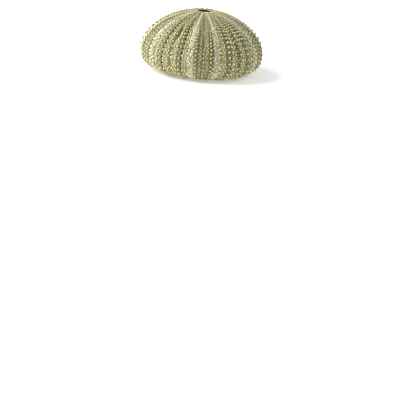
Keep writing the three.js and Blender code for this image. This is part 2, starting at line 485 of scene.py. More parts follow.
def coloured_places(at, rib, strip):
    """Shares of the places that differ in colour alone, from 0 to 1, some of them painted shade."""
    # A nearly white spot at the edge of the top hole.
    white_rim_spot = bell(azimuth_gap(at.azimuth, WHITE_RIM_TURN) * at.degree, WHITE_RIM_WIDTH)
    first_pore = FIRST_PORE_ALONG * np.where(at.front, 1, OTHER_ZONES_START)
    pored = rib * smooth(at.along - first_pore, *PORED_BEGIN) * (1 - smooth(at.along, *PORED_END))
    channel_edge = NARROW_BEADS_AT - CHANNEL_SKEW * (at.turn < 0)
    channel = CHANNEL_SHARE * (1 - smooth(at.side, channel_edge, channel_edge + CHANNEL_EDGE_WIDTH))
    grey_and_rib_shade = bell(at.side - GREY_LINE_AT, GREY_LINE_SPREAD) * (1 - smooth(at.along, *GREY_LINE_END))
    grey_and_rib_shade += GREY_TOP_SHARE * (1 - smooth(at.along, *GREY_TOP_END)) * (1 - rib)
    # Painted shade: the front rib to the right is greyed because it gets less light.
    grey_and_rib_shade += RIGHT_RIB_PAINTED_SHADE * rib * at.front * (at.turn > 0)
    # Painted shade: the bare middle is darkest in the wide zone right of the front, where the light is
    # weakest.
    right_side_painted_shade = bell(azimuth_gap(at.azimuth, WIDE_MIDDLE_AT), FIFTH / 2)
    bare = bell((at.side - WIDE_MIDDLE_AT) * at.degree, BARE_MIDDLE_WIDTH)
    bare *= BARE_MIDDLE_SHARE + (1 - BARE_MIDDLE_SHARE) * right_side_painted_shade
    return {
        "rib": rib,
        "pored": pored,
        "channel": channel * smooth(at.along, *CHANNEL_BEGIN),
        "strip": strip * (STRIP_TOP_SHARE + (1 - STRIP_TOP_SHARE) * smooth(at.along, *STRIP_BEGIN)),
        "grey_and_rib_shade": np.minimum(grey_and_rib_shade, 1),
        "bare": bare * between(at.along, BARE_BEGIN, BARE_END),
        "white_rim_spot": white_rim_spot * (1 - smooth(at.along, *WHITE_RIM_END)),
    }


# %% [markdown]
# One function puts all this together. The wall, the beads and the grains use its heights, so that
# they fit one another, and the material of the plates paints by its shares.

# %% Put the relief together
FINE_RELIEF_FULL_AT = 0.4


def relief(azimuth, along):
    """Heights of the relief in mm, and the share of each of its parts at each place, from 0 to 1."""
    at = measured(azimuth, along)
    height, rib, strip = broad_relief(at.side, along)
    seams, shadow_pit, slot = seams_at(at, rib), shadow_pits_at(at), worn_slot_at(at)
    dish, dish_size = dishes_at(at)
    fine_strength = smooth(relief_strength(along), 0, FINE_RELIEF_FULL_AT)
    height -= fine_strength * (SEAM_DEPTH * seams + DISH_DEPTH * dish * dish_size)
    height -= SHADOW_PIT_DEPTH * shadow_pit
    height -= WORN_SLOT_DEPTH * slot
    parts = {"seams": seams, "dish": dish, "shadow_pit": shadow_pit, "slot": slot}
    return height, parts | coloured_places(at, rib, strip)


def outside_points(azimuth, along):
    """Points on the outside of the wall in mm, with all its relief."""
    return raised_points(azimuth, along, relief(azimuth, along)[0])


# %% [markdown]
# ## Making the wall
#
# The wall is turned like a pot. A circle is added and its points are moved onto the closed outline
# of the wall, outside and inside. Spin then carries this loop round the axis. Each point remembers
# where it was on the outline, so the relief can lift it afterwards. The wall is thickest on the
# flanks and thins towards the top hole and the mouth.

# %% Draw the section of the wall
WALL_THICKNESS = 1.4
MOUTH_RIM_THICKNESS = 0.9
TOP_RIM_THICKNESS = 0.5
THINNING_LENGTH = 7
OUTSIDE_RINGS = 168
UNDER_RINGS = 14
INSIDE_RINGS = 16
INSIDE_GAP_AT_RING = 1
INSIDE_GAP_AT_TOP = 2


def wall_section():
    """Radius, height, length along the outline, and 1 on the inside, round the closed section."""
    upper_along = np.linspace(0, REST_ALONG, OUTSIDE_RINGS, endpoint=False)
    along = np.concatenate([upper_along, np.linspace(REST_ALONG, MOUTH_ALONG, UNDER_RINGS)])
    outside = outline_at(along).T
    back_along = np.linspace(REST_ALONG - INSIDE_GAP_AT_RING, INSIDE_GAP_AT_TOP, INSIDE_RINGS)
    thinning = 1 - smooth(back_along, 0, THINNING_LENGTH)
    thickness = WALL_THICKNESS + (TOP_RIM_THICKNESS - WALL_THICKNESS) * thinning
    back = (outline_at(back_along) - normal_at(back_along) * thickness).T
    mouth_edge = (MOUTH_RADIUS, MOUTH_LIP_HEIGHT + MOUTH_RIM_THICKNESS)
    top_edge = (outside[0, 0], outside[0, 1] - TOP_RIM_THICKNESS)
    places = np.vstack([outside, mouth_edge, back, top_edge])
    lengths = np.concatenate([along, [MOUTH_ALONG], back_along, [0]])
    inside = np.arange(len(places)) >= len(outside)
    return places, lengths, inside


print("points round the section of the wall:", len(wall_section()[0]))

# %% Turn the wall and raise its relief
MERIDIANS = 480
DOUBLES_WITHIN = 0.001
OUTSIDE_ROUGHNESS = 0.06
INSIDE_ROUGHNESS = 0.08
ROUGH_WAVES = ((0.55, 1), (1.3, 0.5))
ROUGH_BEGIN = (1, 6)
ROUGH_END = (REST_ALONG - 3, REST_ALONG)
SHARES_SEEN_INSIDE = {"pored": 0.6, "seams": 0.6}


def deselect_all():
    if bpy.context.object and bpy.context.object.mode != "OBJECT":
        bpy.ops.object.mode_set(mode="OBJECT")
    bpy.ops.object.select_all(action="DESELECT")


def set_floats(mesh, name, values):
    """Keeps one number for each point of a mesh under a name that a material can read."""
    kept = mesh.attributes.get(name) or mesh.attributes.new(name, "FLOAT", "POINT")
    kept.data.foreach_set("value", np.asarray(values, np.float32))


def get_floats(mesh, name):
    values = np.zeros(len(mesh.vertices), np.float32)
    mesh.attributes[name].data.foreach_get("value", values)
    return values


def get_points(mesh):
    points = np.zeros(len(mesh.vertices) * 3)
    mesh.vertices.foreach_get("co", points)
    return points.reshape(-1, 3)


def set_points(mesh, points):
    mesh.vertices.foreach_set("co", np.asarray(points, np.float32).ravel())
    mesh.update()


def triangle_count(mesh):
    return sum(len(face.vertices) - 2 for face in mesh.polygons)


def turned_wall():
    """The plain wall, spun from its section, with its lengths and its inside kept as attributes."""
    places, lengths, inside = wall_section()
    deselect_all()
    bpy.ops.mesh.primitive_circle_add(vertices=len(places), radius=OUTER_RADIUS, fill_type="NOTHING")
    wall = bpy.context.object
    wall.name = "shell_wall"
    set_points(wall.data, np.column_stack([places[:, 0], np.zeros(len(places)), places[:, 1]]))
    set_floats(wall.data, "along", lengths)
    set_floats(wall.data, "inside", inside)
    bpy.ops.object.mode_set(mode="EDIT")
    bpy.ops.mesh.select_all(action="SELECT")
    bpy.ops.mesh.spin(steps=MERIDIANS, angle=math.tau, center=(0, 0, 0), axis=(0, 0, 1))
    bpy.ops.mesh.select_all(action="SELECT")
    bpy.ops.mesh.remove_doubles(threshold=DOUBLES_WITHIN)
    bpy.ops.mesh.normals_make_consistent(inside=False)
    bpy.ops.object.mode_set(mode="OBJECT")
    return wall


def raise_relief(wall):
    """Moves the points of the plain wall to their places on the uneven shell."""
    points = get_points(wall.data)
    along = get_floats(wall.data, "along")
    inside = get_floats(wall.data, "inside") > 0.5
    azimuth = np.degrees(np.arctan2(points[:, 1], points[:, 0]))
    height, parts = relief(azimuth, along)
    print(f"relief from {height.min():.2f} to {height.max():.2f} mm")
    spots = [Vector(p) for p in points]
    rough = np.array([sum(part * noise.noise(p * wave) for wave, part in ROUGH_WAVES) for p in spots])
    height = height + OUTSIDE_ROUGHNESS * rough * between(along, ROUGH_BEGIN, ROUGH_END)
    normal = normal_at(along)
    radius = np.hypot(points[:, 0], points[:, 1])
    lift = np.where(inside, INSIDE_ROUGHNESS * rough, height)
    placed = bend(radius + normal[0] * lift, points[:, 2] + normal[1] * lift, azimuth)
    set_points(wall.data, placed * MM)
    for name, values in parts.items():
        set_floats(wall.data, name, np.where(inside, SHARES_SEEN_INSIDE.get(name, 0) * values, values))
    return wall


wall = raise_relief(turned_wall())
print("wall:", triangle_count(wall.data), "triangles")

# %% [markdown]
# ## Beads, modelled once
#
# A large bead is what a spine turned on: a low cone with a small round knob on it. It starts as a
# circle that is drawn up in edit mode, ring by ring, as on a potter's wheel. Smaller beads and
# grains are the same idea with fewer rings. Each is modelled once, 1 mm wide at its foot, and has a
# value from 0 at its foot to 1 at its tip for the material to read. A profile is a list of radii
# and heights, from the foot, which is sunk in the wall, to the tip.

# %% Model one bead of each kind
LARGE_BEAD_PROFILE = (
    (0.5, -0.2), (0.5, 0.0), (0.42, 0.17), (0.3, 0.31),
    (0.245, 0.35), (0.28, 0.45), (0.225, 0.59), (0.1, 0.65),
)
MEDIUM_BEAD_PROFILE = ((0.5, -0.25), (0.46, 0.06), (0.34, 0.22), (0.33, 0.42), (0.18, 0.57))
GRAIN_PROFILE = ((0.5, -0.3), (0.42, 0.18), (0.2, 0.38))


def round_face(name, sides, radius, height):
    """A flat round face, selected in edit mode, ready to be drawn up."""
    deselect_all()
    bpy.ops.mesh.primitive_circle_add(
        vertices=sides, radius=radius, fill_type="NGON", location=(0, 0, height)
    )
    made = bpy.context.object
    made.name = name
    bpy.ops.object.transform_apply(location=True)
    bpy.ops.object.mode_set(mode="EDIT")
    bpy.ops.mesh.select_all(action="SELECT")
    return made


def draw_up(rise, share):
    """Extrudes what is selected by a rise, and makes it a share of its width."""
    bpy.ops.mesh.extrude_region_move(TRANSFORM_OT_translate={"value": (0, 0, rise)})
    bpy.ops.transform.resize(value=(share, share, 1), center_override=(0, 0, 0))


def close_up(made):
    """Turns all faces outwards, leaves edit mode and gives the corners."""
    bpy.ops.mesh.select_all(action="SELECT")
    bpy.ops.mesh.normals_make_consistent(inside=False)
    bpy.ops.object.mode_set(mode="OBJECT")
    print(made.name, "has", triangle_count(made.data), "triangles")
    return get_points(made.data)


def bead(name, profile, sides):
    """A turned bead: a circle, drawn up by extruding and resizing its rim."""
    radius, height = profile[0]
    made = round_face(name, sides, radius, height)
    for next_radius, next_height in profile[1:]:
        draw_up(next_height - height, next_radius / radius)
        radius, height = next_radius, next_height
    corners = close_up(made)
    set_floats(made.data, "tip", np.clip(corners[:, 2] / height, 0, 1))
    return made


LARGE_BEAD = bead("large_bead", LARGE_BEAD_PROFILE, sides=14)
MEDIUM_BEAD = bead("medium_bead", MEDIUM_BEAD_PROFILE, sides=10)
GRAIN = bead("grain", GRAIN_PROFILE, sides=6)

# %% [markdown]
# The pores come in pairs, where a tube foot passed through the wall. The two pores of a pair share
# one raised ring, with a hollow in it. It starts as a small circle that is extruded up, inset, and
# pushed down again. Only its rim has a tip value of 1, because the rim is what catches the light.

# %% Model one pore
PORE_FOOT_RADIUS = 0.5
PORE_FOOT_DEPTH = 0.3
PORE_RIM_HEIGHT = 0.26
PORE_RIM_SHARE = 0.86
PORE_RIM_WIDTH = 0.16
PORE_DEPTH = 0.22
PORE_FLOOR_SHARE = 0.7
RIM_OUTSIDE = 0.25
RIM_ABOVE = 0.1


def pore(sides):
    """A low round ring, 1 mm wide at its foot, round a hollow."""
    made = round_face("pore", sides, PORE_FOOT_RADIUS, -PORE_FOOT_DEPTH)
    draw_up(PORE_FOOT_DEPTH + PORE_RIM_HEIGHT, PORE_RIM_SHARE)
    bpy.ops.mesh.inset(thickness=PORE_RIM_WIDTH, depth=0)
    draw_up(-PORE_DEPTH, PORE_FLOOR_SHARE)
    corners = close_up(made)
    reach = np.hypot(corners[:, 0], corners[:, 1])
    # The pale rim is a painted highlight, and the rest of the ring with its hollow keeps the dark foot colour
    # as painted shade.
    set_floats(made.data, "tip", (reach > RIM_OUTSIDE) & (corners[:, 2] > RIM_ABOVE))
    return made


PORE = pore(sides=9)

# %% [markdown]
# ## Setting the beads out
#
# A copy of a bead is the same points, turned to stand on the wall, made larger or smaller and moved
# to its place. Thousands of them are joined in one mesh at once, which is what Blender's join does,
# only faster. Every bead gets a little tint and a little spin of its own, from a seeded random source.

# %% Copy and join beads
rng = np.random.default_rng(11)
TANGENT_STEP = 0.25
LOW_BEADS_BEGIN = (REST_ALONG * 0.72, REST_ALONG * 0.95)


def broad_points(azimuth, along):
    """The outside with its broad relief alone, so that beads don't tip over at seams."""
    height, _, _ = broad_relief(np.abs(zone_turn(azimuth)), along)
    return raised_points(azimuth, along, height)


def unit(vectors):
    return vectors / np.linalg.norm(vectors, axis=1)[:, None]


def standing_frames(azimuth, along):
    """Points on the wall with two directions along it and one out of it."""
    turn = np.degrees(TANGENT_STEP / outline_at(along)[0])
    down = unit(broad_points(azimuth, along + TANGENT_STEP) - broad_points(azimuth, along - TANGENT_STEP))
    across = unit(broad_points(azimuth + turn, along) - broad_points(azimuth - turn, along))
    out = unit(np.cross(down, across))
    return outside_points(azimuth, along), across, np.cross(out, across), out


def set_out(name, master, azimuth, along, width, stretch=1.0, shade=0.0):
    """Joins copies of the master in one new mesh. Width is in mm, and shade below 0 makes a copy darker."""
    count = len(azimuth)
    stretch = np.broadcast_to(np.asarray(stretch, float), count)
    spin = rng.uniform(0, math.tau, count)
    here, across, up, out = standing_frames(azimuth, along)
    corners = get_points(master.data)
    local_x = corners[None, :, 0] * (width * stretch)[:, None]
    local_y = corners[None, :, 1] * width[:, None]
    local_z = corners[None, :, 2] * width[:, None]
    cos, sin = np.cos(spin)[:, None], np.sin(spin)[:, None]
    x = local_x * cos - local_y * sin
    y = local_x * sin + local_y * cos
    places = here[:, None] + x[..., None] * across[:, None] + y[..., None] * up[:, None]
    places = (places + local_z[..., None] * out[:, None]).reshape(-1, 3)
    places[:, 2] = np.maximum(places[:, 2], 0)
    faces = [tuple(f.vertices) for f in master.data.polygons]
    shifts = range(0, count * len(corners), len(corners))
    mesh = bpy.data.meshes.new(name)
    mesh.from_pydata((places * MM).tolist(), [], [tuple(v + s for v in f) for s in shifts for f in faces])
    made = bpy.data.objects.new(name, mesh)
    bpy.context.scene.collection.objects.link(made)
    set_floats(mesh, "tip", np.tile(get_floats(master.data, "tip"), count))
    set_floats(mesh, "tint", np.repeat(rng.uniform(0, 1, count) + shade, len(corners)))
    set_floats(mesh, "low", np.repeat(smooth(along, *LOW_BEADS_BEGIN), len(corners)))
    print(name, "has", count, "copies and", triangle_count(mesh), "triangles")
    return made


# %% [markdown]
# ## Where the beads go
#
# Every wide plate carries one large bead, a medium one on either side and small ones between, in a
# level row. Every narrow plate carries one large bead near its outer end and smaller ones near the
# middle. The columns with fewer beads start lower down, where there is room for them, and those of
# the front narrow zone start lowest of all, below its bare top. On the flank left of the front the
# beads are painted darker, nearly as green as the plates, as painted shade that depends on which
# side faces the light, and in the wide zone to its right the medium ones are painted paler, as a
# painted highlight. A column is written as its turn, the width of its beads, and where along it the first one
# is.

# %% Lay out the columns
BEAD_CLEARANCE = 0.9
MOUTH_EDGE_GAP = 1.4
WOBBLE_ACROSS = 0.07
WOBBLE_ALONG = 0.05
BEAD_SHRINK = 0.75
SLOT_MARGIN = 0.02
WIDE_FULL_PLATE = 2.6
NARROW_FULL_PLATE = 1.9


def off_the_floor(along):
    """True where the underside doesn't touch the floor, so that a bead has room there."""
    return (along < REST_ALONG - BEAD_CLEARANCE) | (along > RING_END_ALONG + BEAD_CLEARANCE)


def column(rows, side, turn, first, last=MOUTH_ALONG - MOUTH_EDGE_GAP):
    """Azimuths, lengths and plate heights of one column in all five fifths, with slight unevenness."""
    azimuth, along, size = [], [], []
    for n in range(FIFTHS):
        middles, sizes = rows[side]
        start = first if n == 0 else first * OTHER_ZONES_START
        keep = (middles > start) & (middles < last) & off_the_floor(middles)
        middles, sizes = middles[keep], sizes[keep]
        radius = outline_at(middles)[0]
        wobble = np.degrees(rng.normal(0, WOBBLE_ACROSS, len(middles)) / radius)
        azimuth.append(FRONT_ZONE_AZIMUTH + FIFTH * n + side * turn + wobble)
        along.append(middles + rng.normal(0, WOBBLE_ALONG, len(middles)))
        size.append(sizes)
    return np.concatenate(azimuth), np.concatenate(along), np.concatenate(size)


def columns(wide, narrow_right, narrow_left):
    """Places and widths of all beads of a kind. A column has a turn, a bead width and a first place."""
    parts = []
    for side, narrow in ((1, narrow_right), (-1, narrow_left)):
        wanted = [(WIDE_ROWS, WIDE_FULL_PLATE, *bead_column) for bead_column in wide]
        wanted += [(NARROW_ROWS, NARROW_FULL_PLATE, *bead_column) for bead_column in narrow]
        for rows, full_plate, turn, width, first in wanted:
            azimuth, along, size = column(rows, side, turn, first)
            clear = relief(azimuth, along)[1]["slot"] < SLOT_MARGIN
            width = width * np.minimum(size / full_plate, 1) ** BEAD_SHRINK
            parts.append((azimuth[clear], along[clear], width[clear]))
    return [np.concatenate(values) for values in zip(*parts)]


# %% Set out the large and medium beads
LARGE_IN_WIDE = ((WIDE_BEADS_AT, 1.75, 0.8),)
LARGE_IN_NARROW = ((NARROW_BEADS_AT, 1.4, 17.5),)
MEDIUM_IN_WIDE = ((20.9, 1.35, 4), (29.4, 1.4, 7), (33.0, 1.2, 10), (17.7, 0.9, 20))
MEDIUM_RIGHT_IN_NARROW = ((0.8, 1.25, 28), (4.0, 0.7, 20))
MEDIUM_LEFT_IN_NARROW = ((3.0, 0.9, 24),)
LARGE_SIZES = (0.92, 1.08)
MEDIUM_SIZES = (0.85, 1.15)
# Painted side shade darkens the beads on the flank left of the front, and a painted highlight makes the
# medium beads right of it paler.
SIDE_SHADE_TURN = -26
SIDE_SHADE_SPREAD = 32
SIDE_SHADE_END = (34, 40)
LARGE_PAINTED_SIDE_SHADE = -0.9
MEDIUM_PAINTED_SIDE_SHADE = -0.4
PAINTED_HIGHLIGHT_SHADE = 0.7
PAINTED_HIGHLIGHT_SPREAD = 18


def painted_side_shade_share(azimuth, along):
    """How much painted side shade darkens the beads, from 0 to 1: most of all on the flank to the left of the
    front zone.
    """
    return bell(azimuth_gap(azimuth, SIDE_SHADE_TURN), SIDE_SHADE_SPREAD) * (1 - smooth(along, *SIDE_SHADE_END))


def large_beads():
    azimuth, along, width = columns(LARGE_IN_WIDE, LARGE_IN_NARROW, LARGE_IN_NARROW)
    width = width * rng.uniform(*LARGE_SIZES, len(width))
    # Large beads on the left flank are painted darker as painted side shade.
    shade = LARGE_PAINTED_SIDE_SHADE * painted_side_shade_share(azimuth, along)
    return set_out("large_beads", LARGE_BEAD, azimuth, along, width, shade=shade)


def medium_beads():
    azimuth, along, width = columns(MEDIUM_IN_WIDE, MEDIUM_RIGHT_IN_NARROW, MEDIUM_LEFT_IN_NARROW)
    width = width * rng.uniform(*MEDIUM_SIZES, len(width))
    # Medium beads get the painted side shade too, and a painted highlight in the wide zone right of the
    # front.
    shade = MEDIUM_PAINTED_SIDE_SHADE * painted_side_shade_share(azimuth, along)
    shade += PAINTED_HIGHLIGHT_SHADE * bell(azimuth_gap(azimuth, WIDE_MIDDLE_AT), PAINTED_HIGHLIGHT_SPREAD)
    return set_out("medium_beads", MEDIUM_BEAD, azimuth, along, width, shade=shade)


LARGE = large_beads()
MEDIUM = medium_beads()

# %% [markdown]
# The pore rings lie on the ribs, four to a plate, in a short slanting arc. Each plate repeats it, so
# the arcs stack up in bands on either side of the narrow zone. An arc is a list of turns, each with
# its drop below the plate's middle as a share of the plate's height.

# %% Lay out the pores
PORE_ARC = ((10.5, 0.36), (12.5, 0.1), (14.4, -0.18), (16.0, -0.48))
PORE_WIDTH = 1.16
PORE_SIZES = (0.8, 1.15)
PORE_STRETCH = (0.95, 1.2)
PORE_SCATTER_DEGREES = 0.45
PORE_SCATTER_ALONG = 0.12
MISSING_PORES = 0.08
LAST_PORE_ALONG = REST_ALONG - 3


def arcs(arc):
    """Places and plate heights of all arcs of one kind, one array for each column and place in the arc."""
    for side in (1, -1):
        for turn, drop in arc:
            azimuth, along, size = column(NARROW_ROWS, side, turn, FIRST_PORE_ALONG, LAST_PORE_ALONG)
            yield azimuth, along + drop * size, size


def pores():
    azimuth, along, size = (np.concatenate(values) for values in zip(*arcs(PORE_ARC)))
    width = PORE_WIDTH * np.minimum(size / NARROW_FULL_PLATE, 1)
    there = rng.uniform(0, 1, len(azimuth)) > MISSING_PORES
    azimuth, along, width = azimuth[there], along[there], width[there]
    count = len(azimuth)
    width = width * rng.uniform(*PORE_SIZES, count)
    azimuth = azimuth + rng.normal(0, PORE_SCATTER_DEGREES, count)
    along = along + rng.normal(0, PORE_SCATTER_ALONG, count)
    return set_out("pores", PORE, azimuth, along, width, stretch=rng.uniform(*PORE_STRETCH, count))


PORES = pores()

# %% [markdown]
# ## Fine grains
#
# Between the beads the plates are sown with fine grains. They keep clear of the beads and of one
# another, so each new grain is tried at a random place and kept only if no other is too near. None
# are sown on the ribs, in the painted shadow pits or in the worn slot, and few down the bare middle
# of a wide zone.

# %% Sow the grains at random
GRAIN_TRIES = 60000
TOP_GRAIN_ALONG = 0.7
LAST_GRAIN_GAP = 0.6
DEEP_IN_SHADOW_PIT = 0.4
BARE_TOP = {"front": 18, "other": 1.5}
BARE_TOP_SCATTER = (-2, 4)
BARE_MIDDLE_TURN = 1.8
BARE_MIDDLE_END = 38
BARE_MIDDLE_CHANCE = 0.8
TOP_GRAIN_SIZE = 0.65
FULL_GRAINS_BEGIN = (2, 18)


def sown_places():
    """Places spread evenly over the outside, apart from those that stay bare."""
    along = rng.uniform(TOP_GRAIN_ALONG, MOUTH_ALONG - LAST_GRAIN_GAP, GRAIN_TRIES)
    along = along[rng.uniform(0, OUTER_RADIUS, GRAIN_TRIES) < outline_at(along)[0]]
    azimuth = rng.uniform(-180, 180, len(along))
    turn = np.abs(zone_turn(azimuth))
    _, parts = relief(azimuth, along)
    bare = (parts["slot"] > SLOT_MARGIN) | (parts["shadow_pit"] > DEEP_IN_SHADOW_PIT) | ~off_the_floor(along)
    bare_top = np.where(in_front_zone(azimuth), BARE_TOP["front"], BARE_TOP["other"])
    bare |= (turn < ZONE_EDGE_AT) & (along < bare_top + rng.uniform(*BARE_TOP_SCATTER, len(along)))
    middle = (np.abs(turn - WIDE_MIDDLE_AT) < BARE_MIDDLE_TURN) & (along < BARE_MIDDLE_END)
    bare |= middle & (rng.uniform(0, 1, len(along)) < BARE_MIDDLE_CHANCE)
    bare |= (turn > RIB_AT - RIB_SPREAD) & (turn < ZONE_EDGE_AT) & (along < LAST_PORE_ALONG)
    return azimuth[~bare], along[~bare]


def grain_size(along):
    """The share of their full size that grains have at a place: they are finer near the top."""
    return TOP_GRAIN_SIZE + (1 - TOP_GRAIN_SIZE) * smooth(along, *FULL_GRAINS_BEGIN)


# %% [markdown]
# To find near neighbours fast, space is cut into cubic cells a little larger than any gap. Only the
# cell that a grain falls in and the cells round it have to be searched.

# %% Keep the grains apart
GRAIN_GAP = 0.92
CELL_SIZE = 1.5
BEAD_REACH = {"large": 1.15, "others": 0.85}


def thinned(azimuth, along, taken):
    """Keeps places that are clear of one another and of the taken points, cell by cell."""
    half_gap = GRAIN_GAP * grain_size(along) / 2
    points = outside_points(azimuth, along)
    cells = {}
    for p, reach in taken:
        cells.setdefault(tuple((p // CELL_SIZE).astype(int)), []).append((p, reach))
    kept = []
    for i, p in enumerate(points):
        cell = (p // CELL_SIZE).astype(int)
        near = (
            other
            for dx in (-1, 0, 1)
            for dy in (-1, 0, 1)
            for dz in (-1, 0, 1)
            for other in cells.get((cell[0] + dx, cell[1] + dy, cell[2] + dz), ())
        )
        if all((p - q) @ (p - q) > (half_gap[i] + reach) ** 2 for q, reach in near):
            cells.setdefault(tuple(cell), []).append((p, half_gap[i]))
            kept.append(i)
    return azimuth[kept], along[kept]


def bead_centres(joined, master, share):
    """The middle of each copy in a joined mesh, in mm, with a share of half its width."""
    corners = get_points(joined.data).reshape(-1, len(master.data.vertices), 3) / MM
    middles = corners.mean(1)
    reach = np.linalg.norm(corners - middles[:, None], axis=2).max(1)
    return list(zip(middles, reach * share))


# %% [markdown]
# The gaps between the arcs of pore rings hold grains too. These follow the arcs, and like those in
# the channel of the narrow zone they are as dark as the plates.

# %% Set out the grains
RIB_GRAINS = ((10.9, 0.72), (12.7, 0.5), (14.4, 0.28), (15.6, 0.06))
RIB_GRAIN_SCATTER_DEGREES = 0.5
RIB_GRAIN_SCATTER_ALONG = 0.15
GRAIN_WIDTH = 0.92
GRAIN_SIZES = (0.6, 1.15)
GRAIN_STRETCH = (1, 2)
CHANNEL_HALF_WIDTH = NARROW_BEADS_AT + 1
CHANNEL_GRAIN_SIZE = 0.85
CHANNEL_GRAIN_SHADE = -0.7
RIB_GRAIN_SHADE = -0.8


def rib_grains():
    """Places of the grains that fill the gaps between the arcs of pore rings."""
    azimuth, along = [], []
    for middle, length, _ in arcs(RIB_GRAINS):
        azimuth.append(middle + rng.normal(0, RIB_GRAIN_SCATTER_DEGREES, len(middle)))
        along.append(length + rng.normal(0, RIB_GRAIN_SCATTER_ALONG, len(middle)))
    return np.concatenate(azimuth), np.concatenate(along)


def grains():
    taken = bead_centres(LARGE, LARGE_BEAD, BEAD_REACH["large"])
    taken += bead_centres(MEDIUM, MEDIUM_BEAD, BEAD_REACH["others"])
    taken += bead_centres(PORES, PORE, BEAD_REACH["others"])
    on_ribs = rib_grains()
    sown = thinned(*sown_places(), taken)
    azimuth, along = (np.concatenate(pair) for pair in zip(sown, on_ribs))
    count = len(azimuth)
    in_channel = np.abs(zone_turn(azimuth)) < CHANNEL_HALF_WIDTH
    width = GRAIN_WIDTH * rng.uniform(*GRAIN_SIZES, count) * grain_size(along)
    width = width * np.where(in_channel, CHANNEL_GRAIN_SIZE, 1)
    shade = np.where(in_channel, CHANNEL_GRAIN_SHADE, 0.0)
    shade[len(sown[0]) :] = RIB_GRAIN_SHADE
    stretch = rng.uniform(*GRAIN_STRETCH, count)
    return set_out("grains", GRAIN, azimuth, along, width, stretch=stretch, shade=shade)


GRAINS = grains()

# %% [markdown]
# ## Finishes
#
# The shell is dry calcite, the stuff of chalk, grown as a fine sponge. That makes it matt, with no
# mirror-like shine. The inside is given a faint green emission, a painted glow for the light that
# comes in through the top hole. The green is in the plates and is deepest in the seams; the dishes'
# darker green is partly their own colour and partly painted shade, and the pits are painted shadow.
# The beads are paler towards the tip, partly because spines rubbed them smooth and partly as painted
# highlight.

# %% Helpers for materials
MATT_IOR = 1.5


def linear(hex_colour):
    """Turns an sRGB hex colour to the linear colour that Blender's shaders take."""
    channels = [int(hex_colour[i : i + 2], 16) / 255 for i in (1, 3, 5)]
    return [c / 12.92 if c <= 0.04045 else ((c + 0.055) / 1.055) ** 2.4 for c in channels] + [1.0]


def add_node(material, kind, settings=None, **links):
    """Adds a node with its settings. A link is an output, and any other value is set on the input."""
    node = material.node_tree.nodes.new(kind)
    for name, value in (settings or {}).items():
        setattr(node, name, value)
    for name, value in links.items():
        socket = node.inputs[int(name[1:])] if name[1:].isdigit() else node.inputs[name.replace("_", " ")]
        if isinstance(value, bpy.types.NodeSocket):
            material.node_tree.links.new(value, socket)
        else:
            socket.default_value = value
    return node


def new_material(name, roughness):
    material = bpy.data.materials.new(name)
    material.use_nodes = True
    shader = material.node_tree.nodes["Principled BSDF"]
    shader.inputs["Roughness"].default_value = roughness
    shader.inputs["IOR"].default_value = MATT_IOR
    return material, shader


# %% [markdown]
# The plates are painted in layers, each over the last by its own share. First comes a slow mottle of
# two greens. Then each part of the relief has its colour, and last come the tiny pits of the sponge,
# which also dent the surface. The real ones are finer than a pixel, so they are drawn coarser. A Mix
# node of colours takes the share on input 0 and the colours on 6 and 7, and gives output 2.

# %% Calcite plates
PLATE_ROUGHNESS = 0.72
MOTTLE_SIZE = 3
MOTTLE_DETAIL = 4.0
NET_SIZE = 0.95
NET_PIT_EDGES = (0.1, 0.45)
NET_PIT_SHARE = 0.75
NET_DENT = 0.15
NET_DENT_STRENGTH = 0.8
# The inside glow is painted light; the wall is no lamp.
INSIDE_PAINTED_GLOW = 0.1
DARKER_GREEN, LIGHTER_GREEN, NET_PIT_GREEN, PAINTED_GLOW_GREEN = "#8C8958", "#C6C398", "#6A672F", "#757326"
PART_COLOURS = (
    ("inside", "#96916A"), ("rib", "#C6C6A4"), ("pored", "#A8A572"), ("channel", "#83804F"),
    # Grey and bare are partly painted shade on the front-right, where the light is weakest.
    ("strip", "#7C7850"), ("grey_and_rib_shade", "#858178"), ("bare", "#4C483A"), ("seams", "#6E6B3A"),
    # The dish colour is partly the areole's own green and partly painted shade.
    # The nearly black pit colour is a painted shadow beside each bead.
    ("dish", "#5A5728"), ("shadow_pit", "#26230A"), ("slot", "#3E3A2A"), ("white_rim_spot", "#E4E3D6"),
)


